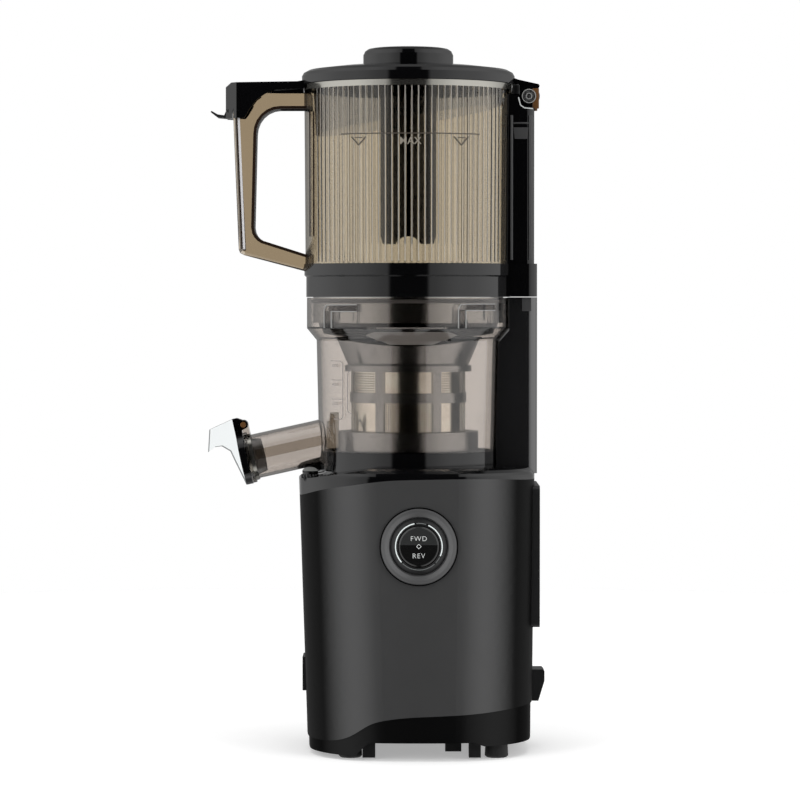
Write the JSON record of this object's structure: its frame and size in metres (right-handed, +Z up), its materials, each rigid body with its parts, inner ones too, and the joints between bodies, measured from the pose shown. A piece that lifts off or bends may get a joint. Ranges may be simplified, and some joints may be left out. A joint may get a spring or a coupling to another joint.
{
  "type": "cold press juicer",
  "caption": "Upright slow juicer: motor base with rocker switch, clear juicing drum with capped spout, strainer and auger, wide hopper with handle, hinged lid and pusher.",
  "frame": {"origin": "centre of the machine's footprint box on the surface it stands on; the drive axis stands 21.95 mm towards +X and 9.95 mm towards -Y from it", "axes": "+Z up along the drive axis, +X from the juice spout towards the hinge column, -Y towards the switch"},
  "size_m": [0.2318, 0.1886, 0.4827],
  "materials": {
    "charcoal_shell": "satin charcoal",
    "gloss_black": "polished black",
    "satin_black": "fine satin black",
    "smoke_clear": "smoke brown clear plastic",
    "smoke_brown": "dark smoke brown clear plastic",
    "bowl_clear": "pale smoke clear plastic",
    "clear": "water clear plastic",
    "grey_frame": "grey moulded plastic",
    "grey_clear": "grey translucent plastic",
    "light_grey": "light grey",
    "screen_steel": "perforated steel",
    "grey_silicone": "matt silicone",
    "brown_silicone": "matt silicone",
    "foot_rubber": "matt rubber",
    "steel": "ground steel",
    "laminations": "stacked steel",
    "cast_alloy": "die cast",
    "gear_resin": "acetal",
    "ultem": "hard moulded resin",
    "board_green": "circuit board",
    "ring_light": "frosted light guide"
  },
  "bodies": {
    "base": {"body_shell": "charcoal_shell", "base_skirt": "gloss_black", "bottom_plate": "satin_black", "rubber_feet": "foot_rubber", "top_deck": "gloss_black", "rear_column": "gloss_black", "lock_tab": "light_grey", "vent_panel": "satin_black", "cord_hood": "satin_black", "side_grip": "satin_black", "switch_bezel": "charcoal_shell", "switch_box": "satin_black", "switch_ring": "ring_light", "motor_can": "steel", "motor_stator": "laminations", "motor_bearings": "steel", "motor_cradle": "satin_black", "gearbox_housing": "cast_alloy", "gearbox_cover": "cast_alloy", "ring_gear": "steel", "output_bearing": "steel", "shaft_seal": "grey_silicone", "control_board": "board_green", "base_screws": "steel"},
    "rotor": {"rotor": "steel", "cooling_fan": "satin_black"},
    "first_carrier": {"first_carrier": "steel"},
    "output": {"drive_shaft": "steel"},
    "planet_1a": {"planet_1a": "gear_resin"},
    "planet_1b": {"planet_1b": "gear_resin"},
    "planet_1c": {"planet_1c": "gear_resin"},
    "planet_2a": {"planet_2a": "steel"},
    "planet_2b": {"planet_2b": "steel"},
    "planet_2c": {"planet_2c": "steel"},
    "drum": {"drum_bowl": "bowl_clear", "drum_base": "gloss_black", "drum_seal": "grey_silicone", "strainer_frame": "grey_frame", "strainer_mesh": "screen_steel", "pulp_flap": "grey_silicone"},
    "auger": {"auger": "ultem"},
    "idler": {"idler_gear": "gear_resin"},
    "wiper": {"wiper_ring": "grey_frame", "wiper_blades": "brown_silicone"},
    "rocker": {"switch_rocker": "gloss_black"},
    "juice_cap": {"juice_cap": "gloss_black", "cap_plug": "grey_silicone", "cap_lever": "clear"},
    "hopper": {"hopper_shell": "smoke_clear", "hopper_base": "gloss_black", "lock_skirt": "grey_clear", "hopper_seal": "grey_silicone", "hopper_spine": "gloss_black", "hinge_bracket": "smoke_brown", "hinge_pin": "steel"},
    "lid": {"lid": "gloss_black", "lid_guard": "grey_clear"},
    "latch": {"latch_lever": "satin_black"},
    "pusher": {"pusher_shaft": "smoke_brown", "pusher_knob": "gloss_black"}
  },
  "joints": [
    {"name": "drum_lift", "type": "slide", "parent": "base", "child": "drum", "axis": [0, 0, 1], "range_m": [0, 0.05]},
    {"name": "hopper_lift", "type": "slide", "parent": "drum", "child": "hopper", "axis": [0, 0, 1], "range_m": [0, 0.05]},
    {"name": "lid_hinge", "type": "hinge", "parent": "hopper", "child": "lid", "pos_m": [0.10465, -0.00995, 0.4493], "axis": [0, 1, 0], "range_deg": [0, 100]},
    {"name": "latch_lever", "type": "hinge", "parent": "lid", "child": "latch", "pos_m": [-0.10125, -0.00995, 0.4394], "axis": [0, 1, 0], "range_deg": [0, 12], "stiffness_Nm_per_rad": 0.03, "springref_deg": -5.73},
    {"name": "pusher_lift", "type": "slide", "parent": "lid", "child": "pusher", "axis": [0, 0, 1], "range_m": [0, 0.11]},
    {"name": "juice_cap_hinge", "type": "hinge", "parent": "drum", "child": "juice_cap", "pos_m": [-0.09185, -0.00995, 0.22364], "axis": [0, 1, 0], "range_deg": [0, 95]},
    {"name": "switch_rocker", "type": "hinge", "parent": "base", "child": "rocker", "pos_m": [0.02885, -0.08811, 0.1449], "axis": [1, 0, 0], "range_deg": [-4, 4], "stiffness_Nm_per_rad": 0.02},
    {"name": "rotor_spin", "type": "hinge", "parent": "base", "child": "rotor", "pos_m": [0.02195, -0.00995, 0.07], "axis": [0, 0, 1], "continuous": true},
    {"name": "first_carrier_spin", "type": "hinge", "parent": "base", "child": "first_carrier", "pos_m": [0.02195, -0.00995, 0.131], "axis": [0, 0, 1], "continuous": true},
    {"name": "output_spin", "type": "hinge", "parent": "base", "child": "output", "pos_m": [0.02195, -0.00995, 0.155], "axis": [0, 0, 1], "continuous": true},
    {"name": "planet_1a_spin", "type": "hinge", "parent": "first_carrier", "child": "planet_1a", "pos_m": [0.02195, 0.00805, 0.121], "axis": [0, 0, 1], "continuous": true},
    {"name": "planet_1b_spin", "type": "hinge", "parent": "first_carrier", "child": "planet_1b", "pos_m": [0.00636, -0.01895, 0.121], "axis": [0, 0, 1], "continuous": true},
    {"name": "planet_1c_spin", "type": "hinge", "parent": "first_carrier", "child": "planet_1c", "pos_m": [0.03754, -0.01895, 0.121], "axis": [0, 0, 1], "continuous": true},
    {"name": "planet_2a_spin", "type": "hinge", "parent": "output", "child": "planet_2a", "pos_m": [0.02195, 0.00805, 0.143], "axis": [0, 0, 1], "continuous": true},
    {"name": "planet_2b_spin", "type": "hinge", "parent": "output", "child": "planet_2b", "pos_m": [0.00636, -0.01895, 0.143], "axis": [0, 0, 1], "continuous": true},
    {"name": "planet_2c_spin", "type": "hinge", "parent": "output", "child": "planet_2c", "pos_m": [0.03754, -0.01895, 0.143], "axis": [0, 0, 1], "continuous": true},
    {"name": "auger_spin", "type": "hinge", "parent": "drum", "child": "auger", "pos_m": [0.02195, -0.00995, 0.23], "axis": [0, 0, 1], "continuous": true},
    {"name": "idler_spin", "type": "hinge", "parent": "drum", "child": "idler", "pos_m": [0.04745, -0.00995, 0.209], "axis": [0, 0, 1], "continuous": true},
    {"name": "wiper_spin", "type": "hinge", "parent": "drum", "child": "wiper", "pos_m": [0.02195, -0.00995, 0.21], "axis": [0, 0, 1], "continuous": true}
  ],
  "couplings": [
    {"joint": "first_carrier_spin", "follows": "rotor_spin", "ratio": 0.16667},
    {"joint": "output_spin", "follows": "rotor_spin", "ratio": 0.027778},
    {"joint": "planet_1a_spin", "follows": "rotor_spin", "ratio": -0.41667},
    {"joint": "planet_1b_spin", "follows": "rotor_spin", "ratio": -0.41667},
    {"joint": "planet_1c_spin", "follows": "rotor_spin", "ratio": -0.41667},
    {"joint": "planet_2a_spin", "follows": "rotor_spin", "ratio": -0.069444},
    {"joint": "planet_2b_spin", "follows": "rotor_spin", "ratio": -0.069444},
    {"joint": "planet_2c_spin", "follows": "rotor_spin", "ratio": -0.069444},
    {"joint": "auger_spin", "follows": "rotor_spin", "ratio": 0.027778},
    {"joint": "idler_spin", "follows": "rotor_spin", "ratio": -0.024691},
    {"joint": "wiper_spin", "follows": "rotor_spin", "ratio": -0.008547}
  ]
}
